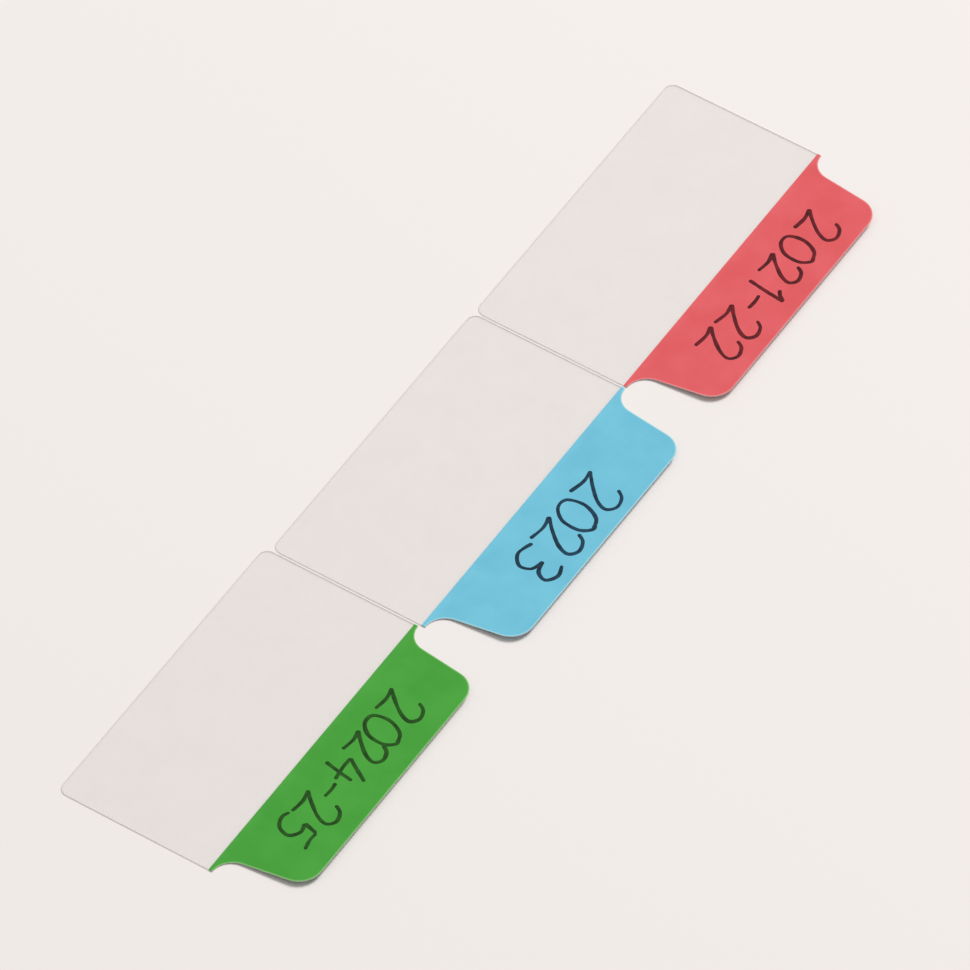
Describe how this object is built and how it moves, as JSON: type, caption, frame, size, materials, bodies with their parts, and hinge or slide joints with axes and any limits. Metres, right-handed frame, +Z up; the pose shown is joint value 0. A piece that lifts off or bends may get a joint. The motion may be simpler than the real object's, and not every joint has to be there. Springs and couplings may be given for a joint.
{
  "type": "sticky index tabs",
  "caption": "Set of self-adhesive index tabs: a clear film strip sticks to a page edge and its coloured, rounded flag stands out past it to be written on.",
  "frame": {"origin": "centre of the footprint of the whole row, on the surface that the strips are stuck to", "axes": "+X along the row, the way the writing on the flags reads (red, blue, green), +Y out of the page edge from the strips to the flags, +Z up off the page"},
  "size_m": [0.1532, 0.039, 0.0008],
  "materials": {
    "clear_film": "clear matte polyester film, slightly milky",
    "red_face": "opaque red print on film, satin, takes pen",
    "blue_face": "opaque light blue print on film, satin, takes pen",
    "green_face": "opaque green print on film, satin, takes pen"
  },
  "bodies": {
    "root": {"red_film": "clear_film", "red_colour_face": "red_face", "blue_film": "clear_film", "blue_colour_face": "blue_face", "green_film": "clear_film", "green_colour_face": "green_face"}
  },
  "joints": []
}
